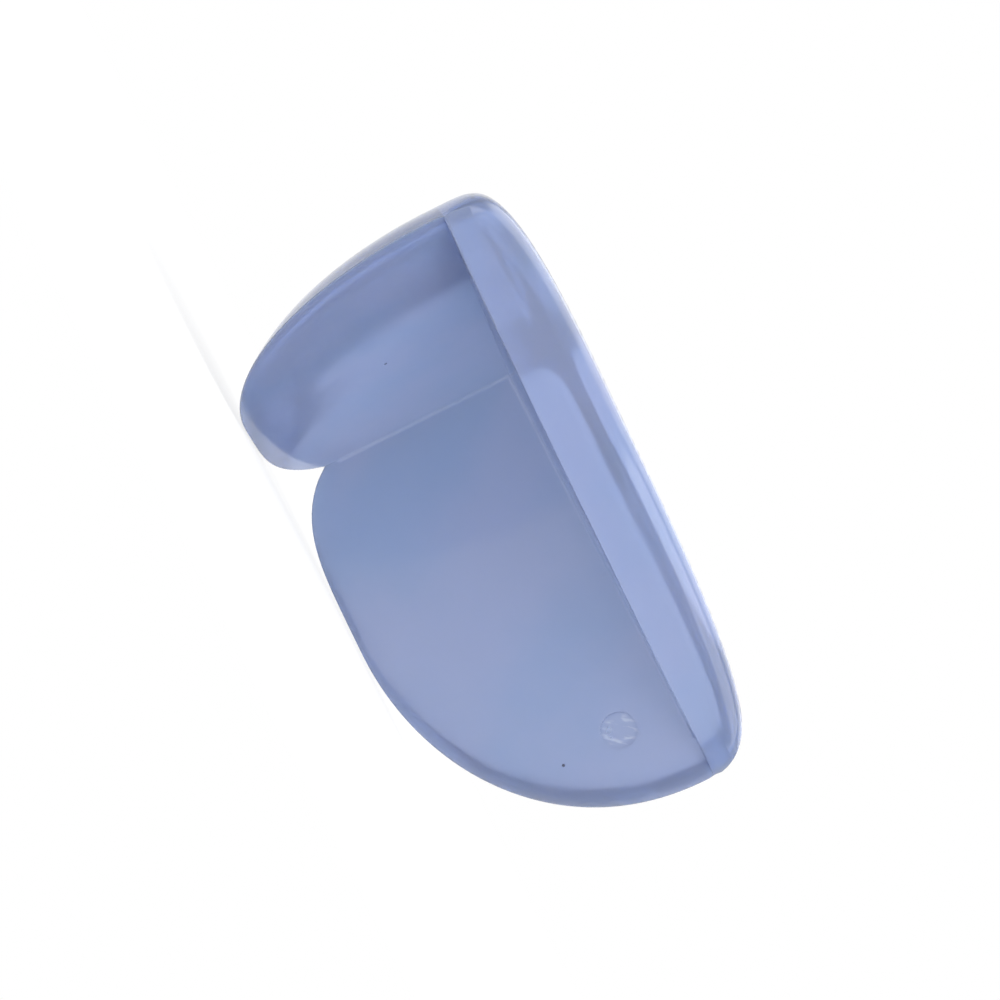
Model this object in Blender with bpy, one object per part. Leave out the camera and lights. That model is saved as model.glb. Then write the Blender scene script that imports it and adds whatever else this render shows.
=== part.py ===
"""Furniture corner protector: a soft clear guard, moulded in one piece.

Two walls and a top plate meet at right angles. Their flat inner faces sit on a table's corner.
Frame: the inner corner is the origin. Wall "x" runs along +X and wall "y" along +Y, both hang
down along -Z, and the top plate lies on the table, above z = 0. Lengths are in metres.
"""

import math

import bmesh
import bpy
from mathutils import Matrix, Vector

# Flat inner faces
LEG = 0.035  # each wall's inner face, from the corner edge to its tip
WALL_HEIGHT = 0.0193  # each wall's inner face, from the plate to the lowest point of its rim

# Outer skin: domed everywhere, with its crown over the middle of each wall
WALL_THICKNESS = 0.005  # at the crown of a wall
PLATE_THICKNESS = 0.0055  # at the crown of the top plate
CROWN_INSET = 0.0145  # crowns, from the corner edge
CROWN_DROP = 0.0005  # widest level of the skin, below the plate's underside

# Fullness of the skin: 2 gives an ellipse, more gives a squarer shoulder
CORNER_FULLNESS = 4.5  # towards the outer corner
TIP_FULLNESS = 2.0  # towards the two tips
RIM_FULLNESS = 2.13  # down towards the rims
TOP_FULLNESS = 5.0  # up towards the crown of the plate

# Free edge of the top plate: a shallow arc from tip to tip
FREE_EDGE_BOW = 0.0062  # depth of the arc behind the line through the tips
TIP_OVERHANG = 0.0003  # how far the arc's ends lie past the inner faces' tips
FREE_EDGE_ROUND = 0.0018  # round on its upper edge

RIM_ROUND = 0.0002  # where the skin meets the inner faces

# Round mark of an ejector pin in the inner face of wall "y"
MARK_RADIUS = 0.0014
MARK_DEPTH = 0.00015
MARK_FROM_CORNER = 0.0286
MARK_BELOW_PLATE = 0.0047

# Fineness of the mesh
CELLS = 14  # from a middle line of the starting cube to its edge
SHORT_SPREAD = 0.8  # across the walls and the plate: under 1 crowds the cells at the skin
LONG_SPREAD = 1.15  # along the walls: over 1 crowds the cells at the inner corner
HALVINGS = 40  # when a point is pushed out to the skin
MARK_STEPS = 24
CUT_MARGIN = 0.002  # how far the mark's cutter reaches past what it cuts
MERGE = 0.00001

PLASTIC_COLOUR = (0.24, 0.33, 0.61, 1.0)
PLASTIC_ROUGHNESS = 0.15

# Half-sizes of the skin, from its crown outwards. PLANE_SHARE is the part of the skin's budget
# that an inner plane has already used, so the far half-sizes are worked back from the rims.
NEAR = CROWN_INSET + WALL_THICKNESS
PLANE_SHARE = (CROWN_INSET / NEAR) ** CORNER_FULLNESS
FAR = (LEG - CROWN_INSET) / (1 - PLANE_SHARE) ** (1 / TIP_FULLNESS)
DOWN = (WALL_HEIGHT - CROWN_DROP) / (1 - PLANE_SHARE) ** (1 / RIM_FULLNESS)
UP = PLATE_THICKNESS + CROWN_DROP

# Free edge's arc, seen from above. Its axis stands on the diagonal between the walls.
HALF_CHORD = (LEG + TIP_OVERHANG) / math.sqrt(2)
ARC_RADIUS = (HALF_CHORD**2 + FREE_EDGE_BOW**2) / (2 * FREE_EDGE_BOW)
ARC_AXIS = (HALF_CHORD + ARC_RADIUS - FREE_EDGE_BOW) / math.sqrt(2)


def new_collection(name):
    """Return a new collection linked to the scene."""
    collection = bpy.data.collections.new(name)
    bpy.context.scene.collection.children.link(collection)
    return collection


def plastic_material():
    """Return the soft plastic's material."""
    material = bpy.data.materials.new("soft_plastic")
    material.use_nodes = True
    shader = material.node_tree.nodes["Principled BSDF"]
    shader.inputs["Base Color"].default_value = PLASTIC_COLOUR
    shader.inputs["Roughness"].default_value = PLASTIC_ROUGHNESS
    shader.inputs["Metallic"].default_value = 0.0
    return material


def share_used(offset, behind, ahead, fullness_behind, fullness_ahead):
    """Return how much of the skin's budget is used by an offset from the crown."""
    if offset < 0:
        return (-offset / behind) ** fullness_behind
    return (offset / ahead) ** fullness_ahead


def is_inside(point):
    """Say if a point lies in the skin, and behind the plate's free edge if it is in the plate."""
    across = 0.0
    for along in (point.x, point.y):
        across += share_used(along - CROWN_INSET, NEAR, FAR, CORNER_FULLNESS, TIP_FULLNESS)
    if across >= 1:
        return False
    if point.z < 0:
        height = share_used(point.z + CROWN_DROP, DOWN, UP, RIM_FULLNESS, TOP_FULLNESS)
        return across + height < 1

    to_top = UP * (1 - across) ** (1 / TOP_FULLNESS) - CROWN_DROP - point.z
    to_edge = math.hypot(point.x - ARC_AXIS, point.y - ARC_AXIS) - ARC_RADIUS
    if min(to_top, to_edge) < 0:
        return False
    if max(to_top, to_edge) > FREE_EDGE_ROUND:
        return True
    return math.hypot(FREE_EDGE_ROUND - to_top, FREE_EDGE_ROUND - to_edge) < FREE_EDGE_ROUND


def pushed_to_skin(ray):
    """Return the point where a ray from the inner corner meets the outer surface, by halving."""
    inside, outside = 0.0, (NEAR + FAR + DOWN) / ray.length
    for _ in range(HALVINGS):
        middle = (inside + outside) / 2
        if is_inside(ray * middle):
            inside = middle
        else:
            outside = middle
    return ray * inside


def ray_through(cube_point):
    """Turn a point of the unit cube into a ray that suits the guard's long and short sides."""
    across_wall = (-WALL_THICKNESS, SHORT_SPREAD)
    along_wall = (LEG, LONG_SPREAD)
    down_wall = (-WALL_HEIGHT, LONG_SPREAD)
    up_plate = (PLATE_THICKNESS, SHORT_SPREAD)
    sides = ((across_wall, along_wall), (across_wall, along_wall), (down_wall, up_plate))
    parts = []
    for value, (behind, ahead) in zip(cube_point, sides):
        if abs(value) < MERGE:
            parts.append(0.0)
        else:
            reach, spread = behind if value < 0 else ahead
            parts.append(reach * abs(value) ** spread)
    return Vector(parts)


def guard_mesh():
    """Return the guard: its outer surface, closed by the three flat inner faces."""
    bm = bmesh.new()
    bmesh.ops.create_cube(bm, size=2)
    bmesh.ops.subdivide_edges(bm, edges=bm.edges[:], cuts=2 * CELLS - 1, use_grid_fill=True)
    for vert in bm.verts:
        vert.co = pushed_to_skin(ray_through(vert.co))

    # The table's corner fills one octant, and its planes lie on lines of the mesh.
    octant = []
    for face in bm.faces:
        centre = face.calc_center_median()
        if centre.x > 0 and centre.y > 0 and centre.z < 0:
            octant.append(face)
    bmesh.ops.delete(bm, geom=octant, context="FACES")

    rim = [edge for edge in bm.edges if edge.is_boundary]
    rim_verts = {vert for edge in rim for vert in edge.verts}
    corner = bm.verts.new((0, 0, 0))
    for across, first, second in ((0, 1, 2), (1, 2, 0), (2, 0, 1)):
        outline = [vert for vert in rim_verts if abs(vert.co[across]) < MERGE]
        outline.sort(key=lambda vert: math.atan2(vert.co[second], vert.co[first]))
        bm.faces.new([corner] + outline)
    bmesh.ops.recalc_face_normals(bm, faces=bm.faces[:])
    bmesh.ops.bevel(
        bm,
        geom=rim,
        offset=RIM_ROUND,
        offset_type="OFFSET",
        segments=3,
        profile=0.5,
        affect="EDGES",
        clamp_overlap=False,
        material=-1,
    )

    mesh = bpy.data.meshes.new("corner_guard")
    bm.to_mesh(mesh)
    bm.free()
    return mesh


def mark_cutter(collection):
    """Return the round pin that sinks the ejector mark into the inner face of wall "y"."""
    bm = bmesh.new()
    bmesh.ops.create_cone(
        bm,
        cap_ends=True,
        segments=MARK_STEPS,
        radius1=MARK_RADIUS,
        radius2=MARK_RADIUS,
        depth=CUT_MARGIN + MARK_DEPTH,
        matrix=Matrix.Rotation(math.radians(90), 4, "Y"),
    )
    mesh = bpy.data.meshes.new("mark_cutter")
    bm.to_mesh(mesh)
    bm.free()
    cutter = bpy.data.objects.new("mark_cutter", mesh)
    cutter.location = ((CUT_MARGIN - MARK_DEPTH) / 2, MARK_FROM_CORNER, -MARK_BELOW_PLATE)
    cutter.hide_render = True
    cutter.display_type = "WIRE"
    collection.objects.link(cutter)
    return cutter


def build():
    """Build the guard and sink its mark."""
    parts = new_collection("corner_protector")
    cutters = new_collection("cutters")
    guard = bpy.data.objects.new("corner_guard", guard_mesh())
    guard.data.materials.append(plastic_material())
    parts.objects.link(guard)
    mark = guard.modifiers.new("Mark", "BOOLEAN")
    mark.operation = "DIFFERENCE"
    mark.solver = "EXACT"
    mark.object = mark_cutter(cutters)
    guard.data.shade_smooth()
    guard.data.set_sharp_from_angle(angle=math.radians(30))


for old in list(bpy.data.objects):
    bpy.data.objects.remove(old, do_unlink=True)
build()
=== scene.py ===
"""Soft clear corner guard for a table: its fine surface, its finish, and the light and camera.

The guard is moulded in one piece. Its inner corner is the origin, wall "x" runs along +X, wall
"y" along +Y, both hang down along -Z, and the top plate lies above z = 0. Lengths are in metres.
"""

import logging
import math
from dataclasses import dataclass
from enum import Enum
from typing import Any

import bmesh
import bpy
from mathutils import Matrix, Vector


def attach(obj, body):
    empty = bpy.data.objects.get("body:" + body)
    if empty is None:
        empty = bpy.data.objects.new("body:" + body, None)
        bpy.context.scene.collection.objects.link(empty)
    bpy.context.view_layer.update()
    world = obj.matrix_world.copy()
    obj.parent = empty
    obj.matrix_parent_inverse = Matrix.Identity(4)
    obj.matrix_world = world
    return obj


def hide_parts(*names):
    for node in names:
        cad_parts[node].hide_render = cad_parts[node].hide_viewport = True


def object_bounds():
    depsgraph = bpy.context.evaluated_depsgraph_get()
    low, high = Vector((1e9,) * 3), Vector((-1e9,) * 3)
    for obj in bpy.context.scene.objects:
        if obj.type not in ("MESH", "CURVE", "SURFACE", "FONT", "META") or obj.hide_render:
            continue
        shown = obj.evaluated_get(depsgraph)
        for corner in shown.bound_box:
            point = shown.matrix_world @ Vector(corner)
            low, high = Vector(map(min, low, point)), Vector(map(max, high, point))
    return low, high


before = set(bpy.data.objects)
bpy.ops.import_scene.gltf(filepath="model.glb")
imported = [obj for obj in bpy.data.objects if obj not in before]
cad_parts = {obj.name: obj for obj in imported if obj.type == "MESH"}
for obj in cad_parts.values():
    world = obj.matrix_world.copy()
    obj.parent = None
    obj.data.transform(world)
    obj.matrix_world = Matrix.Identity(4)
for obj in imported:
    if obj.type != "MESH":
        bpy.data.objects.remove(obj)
CAD_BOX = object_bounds()

log = logging.getLogger("corner_guard")

Point = tuple[float, float, float]
Colour = tuple[float, float, float, float]
Span = tuple[float, float]

ON_PLANE = 1e-6  # how near its plane a vertex of a flat face lies
ON_CUT = 1e-7  # how near a cut a vertex counts as lying on it


def linked(name: str, data: bpy.types.ID) -> bpy.types.Object:
    """Put a mesh, a lamp or a camera in the scene.

    Args:
        name: the object's name.
        data: what the object shows.

    Returns:
        The object, at the origin.
    """
    made = bpy.data.objects.new(name, data)
    bpy.context.scene.collection.objects.link(made)
    return made


def meshed(name: str, bm: bmesh.types.BMesh) -> bpy.types.Object:
    """Put a bmesh in the scene and free it.

    Args:
        name: the name of the object and of its mesh.
        bm: the finished bmesh.

    Returns:
        The object, at the origin.
    """
    mesh = bpy.data.meshes.new(name)
    bm.to_mesh(mesh)
    bm.free()
    return linked(name, mesh)


class Ray(Enum):
    """Kinds of light ray that a stage surface tells apart."""

    CAMERA = "Is Camera Ray"
    GLOSSY = "Is Glossy Ray"
    THROUGH = "Is Transmission Ray"


class Signal:
    """A shader socket that takes part in plain arithmetic."""

    def __init__(self, bench: "NodeBench", socket: bpy.types.NodeSocket) -> None:
        """Wrap a socket.

        Args:
            bench: the bench whose tree holds the socket.
            socket: an output socket that carries a number.
        """
        self.bench = bench
        self.socket = socket

    def combined(self, operation: str, *values: Any) -> "Signal":
        """Run a Math node.

        Args:
            operation: the Math node's operation.
            values: signals or numbers, in the node's order.

        Returns:
            The node's result.
        """
        links = {index: value for index, value in enumerate(values)}
        return self.bench.node("ShaderNodeMath", {"operation": operation}, links)

    def __add__(self, other: Any) -> "Signal":
        """Add."""
        return self.combined("ADD", self, other)

    def __radd__(self, other: Any) -> "Signal":
        """Add, reflected."""
        return self.combined("ADD", other, self)

    def __sub__(self, other: Any) -> "Signal":
        """Subtract."""
        return self.combined("SUBTRACT", self, other)

    def __rsub__(self, other: Any) -> "Signal":
        """Subtract, reflected."""
        return self.combined("SUBTRACT", other, self)

    def __mul__(self, other: Any) -> "Signal":
        """Multiply."""
        return self.combined("MULTIPLY", self, other)

    def __rmul__(self, other: Any) -> "Signal":
        """Multiply, reflected."""
        return self.combined("MULTIPLY", other, self)

    def __truediv__(self, other: Any) -> "Signal":
        """Divide."""
        return self.combined("DIVIDE", self, other)

    def at_least(self, other: Any) -> "Signal":
        """Return the larger of this and another value."""
        return self.combined("MAXIMUM", self, other)

    def at_most(self, other: Any) -> "Signal":
        """Return the smaller of this and another value."""
        return self.combined("MINIMUM", self, other)

    def step(self, span: Span) -> "Signal":
        """Rise smoothly from 0 to 1.

        Args:
            span: where the rise starts and where it ends.

        Returns:
            The smooth step.
        """
        settings = {"interpolation_type": "SMOOTHSTEP"}
        links = {"Value": self, "From Min": span[0], "From Max": span[1]}
        return self.bench.node("ShaderNodeMapRange", settings, links)


class NodeBench:
    """Makes the nodes of one material or world."""

    def __init__(self, tree: bpy.types.NodeTree) -> None:
        """Clear a node tree and take it over.

        Args:
            tree: the tree to fill.
        """
        self.tree = tree
        tree.nodes.clear()

    def node(
        self,
        kind: str,
        settings: dict[str, Any] | None = None,
        links: dict[Any, Any] | None = None,
        output: Any = 0,
    ) -> Signal:
        """Make a node.

        Args:
            kind: the node's type.
            settings: properties of the node, set before its sockets.
            links: for each input, by name or place, a signal to link or a value to set.
            output: the output to hand back, by name or place.

        Returns:
            The chosen output.
        """
        node = self.tree.nodes.new(kind)
        for name, value in (settings or {}).items():
            setattr(node, name, value)
        for name, value in (links or {}).items():
            if isinstance(value, Signal):
                self.tree.links.new(value.socket, node.inputs[name])
            else:
                node.inputs[name].default_value = value
        if not node.outputs:
            return Signal(self, None)
        return Signal(self, node.outputs[output])

    def any_of(self, *rays: Ray) -> Signal:
        """Return 1 for the given kinds of ray and 0 for the rest."""
        found = self.node("ShaderNodeLightPath", output=rays[0].value)
        for ray in rays[1:]:
            found = found.at_least(self.node("ShaderNodeLightPath", output=ray.value))
        return found

    def blend(self, share: Signal, first: Any, second: Any) -> Signal:
        """Mix two colours.

        Args:
            share: 0 for the first colour and 1 for the second.
            first: one colour, as a signal or a value.
            second: the other colour, likewise.

        Returns:
            The mixed colour.
        """
        links = {"Factor": share, 6: first, 7: second}
        return self.node("ShaderNodeMix", {"data_type": "RGBA"}, links, output=2)


@dataclass(frozen=True)
class ClearPlastic:
    """Soft clear plastic with a faint blue cast, a little haze and a glossy skin.

    Noise scales are turns to a metre. A span gives the noise, or the share of a radius, at which
    something starts and where it is full.
    """

    lilac_tint: Colour = (0.335, 0.395, 0.61, 1.0)
    blue_tint: Colour = (0.29, 0.38, 0.605, 1.0)
    speck_tint: Colour = (0.03, 0.03, 0.05, 1.0)
    # a paler tint inside the ejector mark, which also carries painted glints along its scratches
    mark_pale_and_glint_tint: Colour = (0.62, 0.68, 0.80, 1.0)
    depth_tint: Colour = (0.72, 0.79, 0.91, 1.0)
    depth_density: float = 85.0  # to a metre
    milkiness: float = 0.5
    milk_depth: float = 0.002
    clearness: float = 0.72
    refraction: float = 1.52

    smooth: float = 0.07  # roughness where the skin is clearest
    hazy: float = 0.22  # and where it is dullest
    cloud_scale: float = 90.0
    blue_span: Span = (0.35, 0.7)
    cloud_haze: float = 0.6
    cloud_haze_span: Span = (0.3, 0.75)
    streak_scale: float = 260.0
    streak_draw: Point = (1.0, 1.0, 0.18)
    streak_haze: float = 0.4
    streak_haze_span: Span = (0.5, 0.8)
    grain_scale: float = 2600.0

    mark_edge: Span = (0.6, 1.15)
    # how much paler the inside of the mark is
    mark_paling: float = 0.1
    mark_haze: float = 0.15
    # the scratches in the mark: real bumps, and their pale strokes are painted glints
    scratch_and_glint_scale: float = 3000.0
    scratch_and_glint_draw: Point = (1.0, 0.3, 1.0)
    scratch_and_glint_turn: float = -0.9  # radians about X
    scratch_and_glint_span: Span = (0.54, 0.68)
    # painted glint: how far the scratches are lightened towards the pale tint
    scratch_glint: float = 0.7

    relief_strength: float = 0.3
    relief_depth: float = 0.0004
    cloud_relief: float = 0.6
    streak_relief: float = 0.13
    grain_relief: float = 0.002
    scratch_relief: float = 0.03

    specks: tuple[Point, ...] = (
        (0.0140, 0.0, -0.0080),
        (0.0, 0.0291, -0.0095),
        (0.0338, 0.0006, 0.0016),
    )
    speck_radius: float = 0.00013
    speck_edge: Span = (0.6, 1.2)

    def material(self, name: str, mark: Point, mark_radius: float) -> bpy.types.Material:
        """Make the material.

        Args:
            name: the material's name.
            mark: the middle of the ejector mark.
            mark_radius: the mark's radius.

        Returns:
            The finished material.
        """
        material = bpy.data.materials.new(name)
        material.use_nodes = True
        bench = NodeBench(material.node_tree)
        place = bench.node("ShaderNodeTexCoord", output="Object")

        cloud = self.noise(bench, place, self.cloud_scale, detail=3.0)
        streak_place = self.drawn_out(bench, place, self.streak_draw)
        streak = self.noise(bench, streak_place, self.streak_scale, detail=4.0)
        grain = self.noise(bench, place, self.grain_scale, detail=2.0)
        in_mark = 1.0 - (self.distance(bench, place, mark) / mark_radius).step(self.mark_edge)
        scratch_and_glint_place = self.drawn_out(bench, place, self.scratch_and_glint_draw, self.scratch_and_glint_turn)
        scratch_and_glint_noise = self.noise(bench, scratch_and_glint_place, self.scratch_and_glint_scale, detail=1.0)
        # scratches: a real bump in the relief, and a painted glint in the colour
        scratches_and_glints = scratch_and_glint_noise.step(self.scratch_and_glint_span) * in_mark

        tint = bench.blend(cloud.step(self.blue_span), self.lilac_tint, self.blue_tint)
        # the mark is paler, and its scratches are lightened as painted glints
        pale_and_glint_share = in_mark * self.mark_paling + scratches_and_glints * self.scratch_glint
        pale_and_glint_colour = bench.blend(pale_and_glint_share, tint, self.mark_pale_and_glint_tint)
        colour = bench.blend(self.dust(bench, place), pale_and_glint_colour, self.speck_tint)

        haze = cloud.step(self.cloud_haze_span) * self.cloud_haze
        haze = haze + streak.step(self.streak_haze_span) * self.streak_haze
        roughness = self.smooth + haze * (self.hazy - self.smooth) + in_mark * self.mark_haze

        height = cloud * self.cloud_relief + streak * self.streak_relief
        height = height + grain * self.grain_relief + scratches_and_glints * self.scratch_relief
        relief = {"Strength": self.relief_strength, "Distance": self.relief_depth}
        bump = bench.node("ShaderNodeBump", links={**relief, "Height": height})
        surface = bench.node(
            "ShaderNodeBsdfPrincipled",
            links={
                "Base Color": colour,
                "Roughness": roughness,
                "IOR": self.refraction,
                "Subsurface Weight": self.milkiness,
                "Subsurface Radius": (1.0, 1.0, 1.0),
                "Subsurface Scale": self.milk_depth,
                "Transmission Weight": self.clearness,
                "Normal": bump,
            },
        )
        depth = bench.node(
            "ShaderNodeVolumeAbsorption",
            links={"Color": self.depth_tint, "Density": self.depth_density},
        )
        bench.node("ShaderNodeOutputMaterial", links={"Surface": surface, "Volume": depth})
        return material

    def noise(self, bench: NodeBench, place: Signal, scale: float, detail: float) -> Signal:
        """Make a noise.

        Args:
            bench: the bench to make it on.
            place: coordinates in metres.
            scale: turns to a metre.
            detail: octaves of finer noise.

        Returns:
            A number about one half.
        """
        links = {"Vector": place, "Scale": scale, "Detail": detail}
        return bench.node("ShaderNodeTexNoise", links=links)

    def drawn_out(
        self, bench: NodeBench, place: Signal, shares: Point, turn: float = 0.0
    ) -> Signal:
        """Make coordinates that draw a pattern out.

        Args:
            bench: the bench to make them on.
            place: coordinates in metres.
            shares: for each axis, 1 to keep the pattern and less to draw it out.
            turn: the turn about X beforehand, in radians.

        Returns:
            The drawn-out coordinates.
        """
        links = {"Vector": place, "Rotation": (turn, 0.0, 0.0)}
        turned = bench.node("ShaderNodeMapping", links=links)
        return bench.node("ShaderNodeMapping", links={"Vector": turned, "Scale": shares})

    def distance(self, bench: NodeBench, place: Signal, centre: Point) -> Signal:
        """Return the distance from a point."""
        links = {0: place, 1: centre}
        return bench.node("ShaderNodeVectorMath", {"operation": "DISTANCE"}, links, output="Value")

    def dust(self, bench: NodeBench, place: Signal) -> Signal:
        """Return 1 in the specks of dust in the plastic and 0 elsewhere."""
        nearest = self.distance(bench, place, self.specks[0])
        for speck in self.specks[1:]:
            nearest = nearest.at_most(self.distance(bench, place, speck))
        return 1.0 - (nearest / self.speck_radius).step(self.speck_edge)


@dataclass(frozen=True)
class StageWhite:
    """White that shows a soft shadow near the guard and none farther out."""

    colour: Colour = (0.86, 0.86, 0.86, 1.0)
    shown: float = 1.0
    lift: float = 0.78
    fade: Span = (0.05, 0.16)

    def material(self, name: str) -> bpy.types.Material:
        """Make the material.

        Args:
            name: the material's name.

        Returns:
            The finished material.
        """
        material = bpy.data.materials.new(name)
        material.use_nodes = True
        bench = NodeBench(material.node_tree)
        paint = bench.node("ShaderNodeBsdfDiffuse", links={"Color": self.colour})
        glow = bench.node("ShaderNodeEmission", links={"Strength": self.shown})
        seen = bench.any_of(Ray.CAMERA, Ray.GLOSSY, Ray.THROUGH)
        place = bench.node("ShaderNodeTexCoord", output="Object")
        away = bench.node(
            "ShaderNodeVectorMath", {"operation": "LENGTH"}, {0: place}, output="Value"
        )
        share = self.lift + away.step(self.fade) * (1.0 - self.lift)
        mix = bench.node("ShaderNodeMixShader", links={0: seen * share, 1: paint, 2: glow})
        bench.node("ShaderNodeOutputMaterial", links={"Surface": mix})
        return material


@dataclass
class CornerGuard:
    """The moulded guard: a domed outer surface over three flat inner faces.

    The skin bulges from a crown over the middle of each wall. Each fullness says how square its
    shoulder is on one side, and 2 gives an ellipse.
    """

    leg: float = 0.035  # each wall's inner face, from the corner edge to its tip
    wall_height: float = 0.0193  # each wall's inner face, from the plate to its lowest point
    wall_thickness: float = 0.005  # at the crown of a wall
    plate_thickness: float = 0.0055  # at the crown of the top plate
    crown_inset: float = 0.0145  # crowns, from the corner edge
    crown_drop: float = 0.0005  # widest level of the skin, below the plate's underside
    corner_fullness: float = 4.5  # towards the outer corner
    tip_fullness: float = 2.0  # towards the two tips
    rim_fullness: float = 2.13  # down towards the rims
    top_fullness: float = 5.0  # up towards the crown of the plate
    free_edge_bow: float = 0.0062  # depth of the arc behind the line through the tips
    tip_overhang: float = 0.0003  # how far the arc's ends lie past the inner faces' tips
    free_edge_round: float = 0.0018  # on its upper edge

    rim_round: float = 0.0002  # where the skin meets the inner faces
    inner_round: float = 0.0003  # where two inner faces meet
    inner_round_reach: Point = (0.0315, 0.0315, -0.0143)  # its ends, short of the rims
    round_steps: int = 6

    mark_radius: float = 0.0014
    mark_depth: float = 0.00015
    mark_from_corner: float = 0.0286
    mark_below_plate: float = 0.0047
    mark_sides: int = 64
    cutter_length: float = 0.002

    cells: int = 48  # from a middle line of the starting cube to its edge
    short_first: float = 0.11  # cell beside a flat face, as a share of a thickness
    long_first: float = 0.022  # the same, as a share of a leg or a wall's height
    spread: float = 1.1  # over 1 crowds the cells at the inner corner
    halvings: int = 26
    most_cell_corners: int = 8  # a flat inner face has far more

    sharp_angle: float = 40.0  # in degrees
    skin_band: float = 4e-5  # farthest that the skin's vertices lie off its formula
    skin_step: float = 5e-5  # to the points beside a vertex that give its direction
    skin_search: Span = (0.97, 1.03)
    step_search: Span = (0.95, 1.05)
    skin_halvings: int = 16
    skin_match: float = 0.64  # least cosine between a face and its corner's direction

    def __post_init__(self) -> None:
        """Work out the half-sizes of the skin and the arc of the plate's free edge."""
        self.near = self.crown_inset + self.wall_thickness
        left = 1 - (self.crown_inset / self.near) ** self.corner_fullness
        self.far = (self.leg - self.crown_inset) / left ** (1 / self.tip_fullness)
        self.down = (self.wall_height - self.crown_drop) / left ** (1 / self.rim_fullness)
        self.up = self.plate_thickness + self.crown_drop
        half_chord = (self.leg + self.tip_overhang) / math.sqrt(2)
        bow = self.free_edge_bow
        self.arc_radius = (half_chord**2 + bow**2) / (2 * bow)
        self.arc_axis = (half_chord + self.arc_radius - bow) / math.sqrt(2)

    def share_across(self, point: Vector) -> float:
        """Return how much of the skin's budget a point's x and y use."""
        share = 0.0
        for along in (point.x, point.y):
            offset = along - self.crown_inset
            if offset < 0:
                share += (-offset / self.near) ** self.corner_fullness
            else:
                share += (offset / self.far) ** self.tip_fullness
        return share

    def holds(self, point: Vector) -> bool:
        """Say if a point lies in the skin, and behind the free edge if it is in the plate."""
        across = self.share_across(point)
        if across >= 1:
            return False
        if point.z < 0:
            rise = point.z + self.crown_drop
            if rise < 0:
                return across + (-rise / self.down) ** self.rim_fullness < 1
            return across + (rise / self.up) ** self.top_fullness < 1

        top = self.up * (1 - across) ** (1 / self.top_fullness) - self.crown_drop
        to_top = top - point.z
        to_edge = math.hypot(point.x - self.arc_axis, point.y - self.arc_axis) - self.arc_radius
        if min(to_top, to_edge) < 0:
            return False
        radius = self.free_edge_round
        if max(to_top, to_edge) > radius:
            return True
        return math.hypot(radius - to_top, radius - to_edge) < radius

    def pushed_out(self, ray: Vector, search: Span, halvings: int) -> Vector:
        """Find where a ray from the inner corner meets the outer surface.

        Args:
            ray: the ray's direction.
            search: multiples of the ray that lie inside the skin and outside it.
            halvings: how often the stretch between them is halved.

        Returns:
            The point on the skin.
        """
        inside, outside = search
        for _ in range(halvings):
            middle = (inside + outside) / 2
            if self.holds(ray * middle):
                inside = middle
            else:
                outside = middle
        return ray * inside

    def facing(self, point: Vector) -> Vector:
        """Work out which way the skin faces at a point.

        Args:
            point: a point, on the skin or off it.

        Returns:
            The direction outwards, or a null vector if the point is off the skin.
        """
        here = self.pushed_out(point, self.skin_search, self.skin_halvings)
        if (here - point).length > self.skin_band:
            return Vector()
        side = point.orthogonal().normalized() * self.skin_step
        other_side = point.cross(side).normalized() * self.skin_step
        steps = []
        for offset in (side, other_side):
            if (point.z < 0) != ((point + offset).z < 0):
                offset = -offset
            beside = self.pushed_out(point + offset, self.step_search, self.skin_halvings)
            steps.append(beside - here)
        direction = steps[0].cross(steps[1]).normalized()
        return direction if direction.dot(point) > 0 else -direction

    def ray_through(self, cube_point: Vector) -> Vector:
        """Turn a point of the unit cube into a ray that suits the long and the short sides.

        The cells next to the flat faces are wide enough for the rim's round.

        Args:
            cube_point: a point on the cube's surface.

        Returns:
            The ray's direction, from the inner corner.
        """
        across = (-self.wall_thickness, self.short_first)
        along = (self.leg, self.long_first)
        down = (-self.wall_height, self.long_first)
        up = (self.plate_thickness, self.short_first)
        ray = Vector()
        for axis, (behind, ahead) in enumerate(((across, along), (across, along), (down, up))):
            value = cube_point[axis]
            if abs(value) > ON_PLANE:
                reach, first = behind if value < 0 else ahead
                later = max(0.0, (abs(value) * self.cells - 1) / (self.cells - 1))
                ray[axis] = reach * (first + (1 - first) * later**self.spread)
        return ray

    def outer_surface(self, bm: bmesh.types.BMesh) -> None:
        """Make the outer surface, open where the table's corner goes.

        Args:
            bm: the mesh to fill.
        """
        bmesh.ops.create_cube(bm, size=2)
        cuts = 2 * self.cells - 1
        bmesh.ops.subdivide_edges(bm, edges=bm.edges[:], cuts=cuts, use_grid_fill=True)
        for vert in bm.verts:
            ray = self.ray_through(vert.co)
            far_out = (self.near + self.far + self.down) / ray.length
            vert.co = self.pushed_out(ray, (0.0, far_out), self.halvings)
        octant = []
        for face in bm.faces:
            centre = face.calc_center_median()
            if centre.x > 0 and centre.y > 0 and centre.z < 0:
                octant.append(face)
        bmesh.ops.delete(bm, geom=octant, context="FACES")

    def inner_faces(self, bm: bmesh.types.BMesh) -> list[bmesh.types.BMEdge]:
        """Close the surface with three flat faces that meet in the inner corner.

        Args:
            bm: the mesh with the open outer surface.

        Returns:
            The edges of the rim, where the outer surface meets the flat faces.
        """
        rim = [edge for edge in bm.edges if edge.is_boundary]
        rim_verts = {vert for edge in rim for vert in edge.verts}
        corner = bm.verts.new((0, 0, 0))
        for across, first, second in ((0, 1, 2), (1, 2, 0), (2, 0, 1)):
            outline = [vert for vert in rim_verts if abs(vert.co[across]) < ON_PLANE]
            outline.sort(key=lambda vert: math.atan2(vert.co[second], vert.co[first]))
            bm.faces.new([corner] + outline)
        bmesh.ops.recalc_face_normals(bm, faces=bm.faces[:])
        return rim

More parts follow.
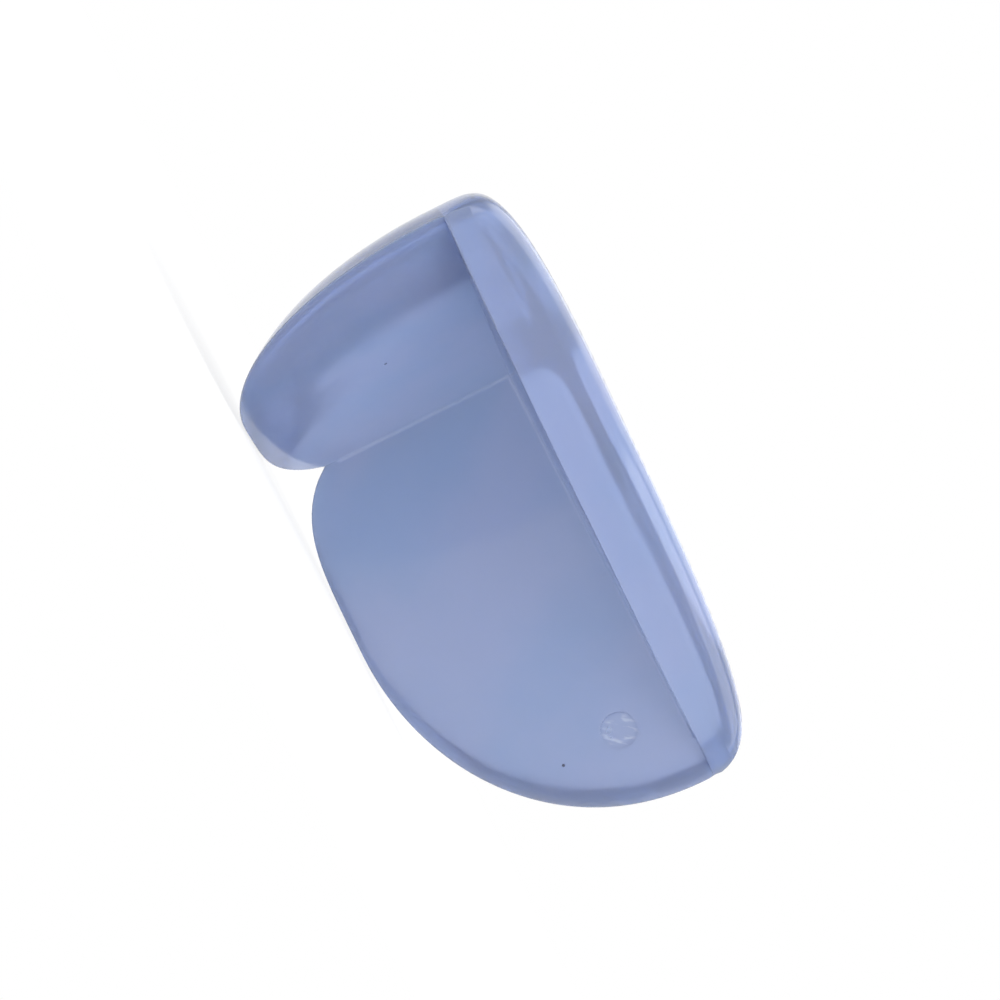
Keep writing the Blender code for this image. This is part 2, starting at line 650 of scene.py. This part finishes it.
    def inner_edges(self, bm: bmesh.types.BMesh) -> list[bmesh.types.BMEdge]:
        """Split the flat faces so that the inner edges' rounds end before the rim.

        Args:
            bm: the closed mesh.

        Returns:
            The stretches of the three inner edges that are rounded.
        """
        for axis, reach in enumerate(self.inner_round_reach):
            flat = [face for face in bm.faces if len(face.verts) > self.most_cell_corners]
            edges = {edge for face in flat for edge in face.edges}
            verts = {vert for face in flat for vert in face.verts}
            place, normal = Vector(), Vector()
            place[axis], normal[axis] = reach, 1.0
            geom = flat + list(edges) + list(verts)
            bmesh.ops.bisect_plane(bm, geom=geom, dist=ON_CUT, plane_co=place, plane_no=normal)
        stretches = []
        for edge in bm.edges:
            for axis, reach in enumerate(self.inner_round_reach):
                others = [other for other in range(3) if other != axis]
                off = sum(abs(vert.co[other]) for vert in edge.verts for other in others)
                far = max(abs(vert.co[axis]) for vert in edge.verts)
                if off < ON_PLANE and far < abs(reach) + ON_PLANE:
                    stretches.append(edge)
        return stretches

    def rounded(
        self, bm: bmesh.types.BMesh, edges: list[bmesh.types.BMEdge], width: float
    ) -> None:
        """Round some edges.

        Args:
            bm: the closed mesh.
            edges: the edges to round.
            width: the round's width on each side.
        """
        bmesh.ops.bevel(
            bm,
            geom=edges,
            offset=width,
            offset_type="OFFSET",
            segments=self.round_steps,
            profile=0.5,
            affect="EDGES",
            clamp_overlap=False,
            material=-1,
        )

    def smooth_shading(self, mesh: bpy.types.Mesh) -> None:
        """Shade the skin as its formula curves, and keep the inner faces flat up to their rounds.

        Args:
            mesh: the finished mesh.
        """
        mesh.shade_smooth()
        mesh.set_sharp_from_angle(angle=math.radians(self.sharp_angle))
        plain = [corner.vector.copy() for corner in mesh.corner_normals]
        facing = [self.facing(vert.co) for vert in mesh.vertices]
        flat_faces = set()
        for face in mesh.polygons:
            verts = [mesh.vertices[index].co for index in face.vertices]
            if any(all(abs(vert[axis]) < ON_PLANE for vert in verts) for axis in range(3)):
                flat_faces.add(face.index)
                for index in face.vertices:
                    facing[index] = face.normal.copy()
        normals = []
        for face in mesh.polygons:
            for corner, index in zip(face.loop_indices, face.vertices):
                if face.index in flat_faces:
                    normals.append(face.normal)
                elif facing[index].dot(face.normal) > self.skin_match:
                    normals.append(facing[index])
                else:
                    normals.append(plain[corner])
        mesh.normals_split_custom_set(normals)

    def mark_cutter(self) -> bpy.types.Object:
        """Return the round pin that sinks the ejector mark into the inner face of wall "y"."""
        bm = bmesh.new()
        bmesh.ops.create_cone(
            bm,
            cap_ends=True,
            segments=self.mark_sides,
            radius1=self.mark_radius,
            radius2=self.mark_radius,
            depth=self.cutter_length,
            matrix=Matrix.Rotation(math.radians(90), 4, "Y"),
        )
        into = self.cutter_length / 2 - self.mark_depth
        place = (into, self.mark_from_corner, -self.mark_below_plate)
        bmesh.ops.translate(bm, verts=bm.verts[:], vec=place)
        return meshed("mark_cutter", bm)

    def build(self) -> bpy.types.Object:
        """Build the guard.

        Returns:
            The guard's object, at the origin, with its modifiers applied.
        """
        bm = bmesh.new()
        self.outer_surface(bm)
        self.rounded(bm, self.inner_faces(bm), self.rim_round)
        self.rounded(bm, self.inner_edges(bm), self.inner_round)
        rough = meshed("guard_rough", bm)

        cutter = self.mark_cutter()
        sunk = rough.modifiers.new("mark", "BOOLEAN")
        sunk.operation = "DIFFERENCE"
        sunk.solver = "EXACT"
        sunk.object = cutter
        bpy.context.view_layer.update()
        graph = bpy.context.evaluated_depsgraph_get()
        cut = bpy.data.meshes.new_from_object(rough.evaluated_get(graph))
        bpy.data.objects.remove(rough)
        bpy.data.objects.remove(cutter)

        self.smooth_shading(cut)
        return linked("corner_guard_clear", cut)

    def dress(self, guard: bpy.types.Object, finish: ClearPlastic) -> None:
        """Give the guard its finish and its place in the frame.

        Args:
            guard: the built guard.
            finish: the finish to wear.
        """
        mark = (0.0, self.mark_from_corner, -self.mark_below_plate)
        plastic = finish.material("soft_clear_plastic", mark, self.mark_radius)
        guard.data.materials.clear()
        guard.data.materials.append(plastic)
        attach(guard, "root")
        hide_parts("corner_guard")


@dataclass(frozen=True)
class SoftBox:
    """A square lamp that isn't seen through the plastic."""

    name: str
    place: Point
    width: float
    power: float  # in watts
    mirrored: bool = True  # whether gloss shows it

    def hang(self, aim: Vector) -> bpy.types.Object:
        """Hang the lamp.

        Args:
            aim: the point that it faces.

        Returns:
            The lamp's object.
        """
        lamp = bpy.data.lights.new(self.name, "AREA")
        lamp.shape = "SQUARE"
        lamp.size = self.width
        lamp.energy = self.power
        holder = linked(self.name, lamp)
        holder.location = self.place
        away = Vector(self.place) - aim
        holder.rotation_euler = away.to_track_quat("Z", "Y").to_euler()
        holder.visible_transmission = False
        holder.visible_glossy = self.mirrored
        return holder


@dataclass
class Studio:
    """White floor, white surroundings and soft boxes."""

    floor_size: float = 4.0
    floor_cells: int = 8
    floor_gap: float = 0.0002
    ambient: float = 0.85
    lamps: tuple[SoftBox, ...] = (
        SoftBox("key", (0.24, 0.24, 0.44), width=0.50, power=1.8),
        SoftBox("side", (0.12, 0.44, 0.14), width=0.50, power=3.3, mirrored=False),
        SoftBox("back", (-0.30, 0.04, 0.34), width=0.40, power=0.8),
    )

    def floor(self, height: float, finish: StageWhite) -> bpy.types.Object:
        """Lay the floor.

        Args:
            height: the level of the floor.
            finish: the finish to wear.

        Returns:
            The floor's object.
        """
        bm = bmesh.new()
        cells = self.floor_cells
        bmesh.ops.create_grid(bm, x_segments=cells, y_segments=cells, size=self.floor_size / 2)
        bmesh.ops.translate(bm, verts=bm.verts[:], vec=(0, 0, height - self.floor_gap))
        floor = meshed("floor", bm)
        floor.data.materials.append(finish.material("floor_white"))
        return floor

    def surroundings(self) -> None:
        """Make the world: white where it is seen, and a plain soft light everywhere else."""
        world = bpy.data.worlds.new("surroundings")
        bpy.context.scene.world = world
        world.use_nodes = True
        bench = NodeBench(world.node_tree)
        seen = bench.any_of(Ray.CAMERA, Ray.GLOSSY, Ray.THROUGH)
        strength = self.ambient + seen * (1.0 - self.ambient)
        links = {"Color": (1.0, 1.0, 1.0, 1.0), "Strength": strength}
        light = bench.node("ShaderNodeBackground", links=links)
        bench.node("ShaderNodeOutputWorld", links={"Surface": light})

    def build(self, low: Vector, high: Vector) -> None:
        """Build the studio around a box.

        Args:
            low: the box's lowest corner.
            high: the box's highest corner.
        """
        self.floor(low.z, StageWhite())
        self.surroundings()
        for lamp in self.lamps:
            lamp.hang((low + high) / 2)


@dataclass(frozen=True)
class Viewpoint:
    """The photograph's angle on the guard, rolled as the guard lies there."""

    eye: Point = (0.33504, 0.11916, -0.00884)
    aim: Point = (0.0016, 0.0091, -0.0049)
    up: Point = (0.3235, -0.8342, 0.4466)
    lens: float = 170.0  # in millimetres
    sensor: float = 36.0  # in millimetres
    clip: Span = (0.01, 20.0)

    def place(self) -> bpy.types.Object:
        """Set up the camera.

        Returns:
            The camera's object, made the scene's camera.
        """
        data = bpy.data.cameras.new("camera")
        data.lens = self.lens
        data.sensor_width = self.sensor
        data.clip_start, data.clip_end = self.clip
        camera = linked("camera", data)
        back = (Vector(self.eye) - Vector(self.aim)).normalized()
        right = Vector(self.up).cross(back).normalized()
        above = back.cross(right)
        turned = Matrix((right, above, back)).transposed().to_4x4()
        camera.matrix_world = Matrix.Translation(self.eye) @ turned
        bpy.context.scene.camera = camera
        return camera


def main() -> None:
    """Build the guard, the studio and the view."""
    logging.basicConfig(level=logging.INFO, format="%(name)s: %(message)s")
    guard_plan = CornerGuard()
    guard = guard_plan.build()
    guard_plan.dress(guard, ClearPlastic())
    log.info("%s built, %d faces", guard.name, len(guard.data.polygons))

    low, high = CAD_BOX
    Studio().build(low, high)
    log.info("studio built")
    camera = Viewpoint().place()
    log.info("%s placed", camera.name)

    scene = bpy.context.scene
    scene.view_settings.view_transform = "Standard"


if __name__ == "__main__":
    main()
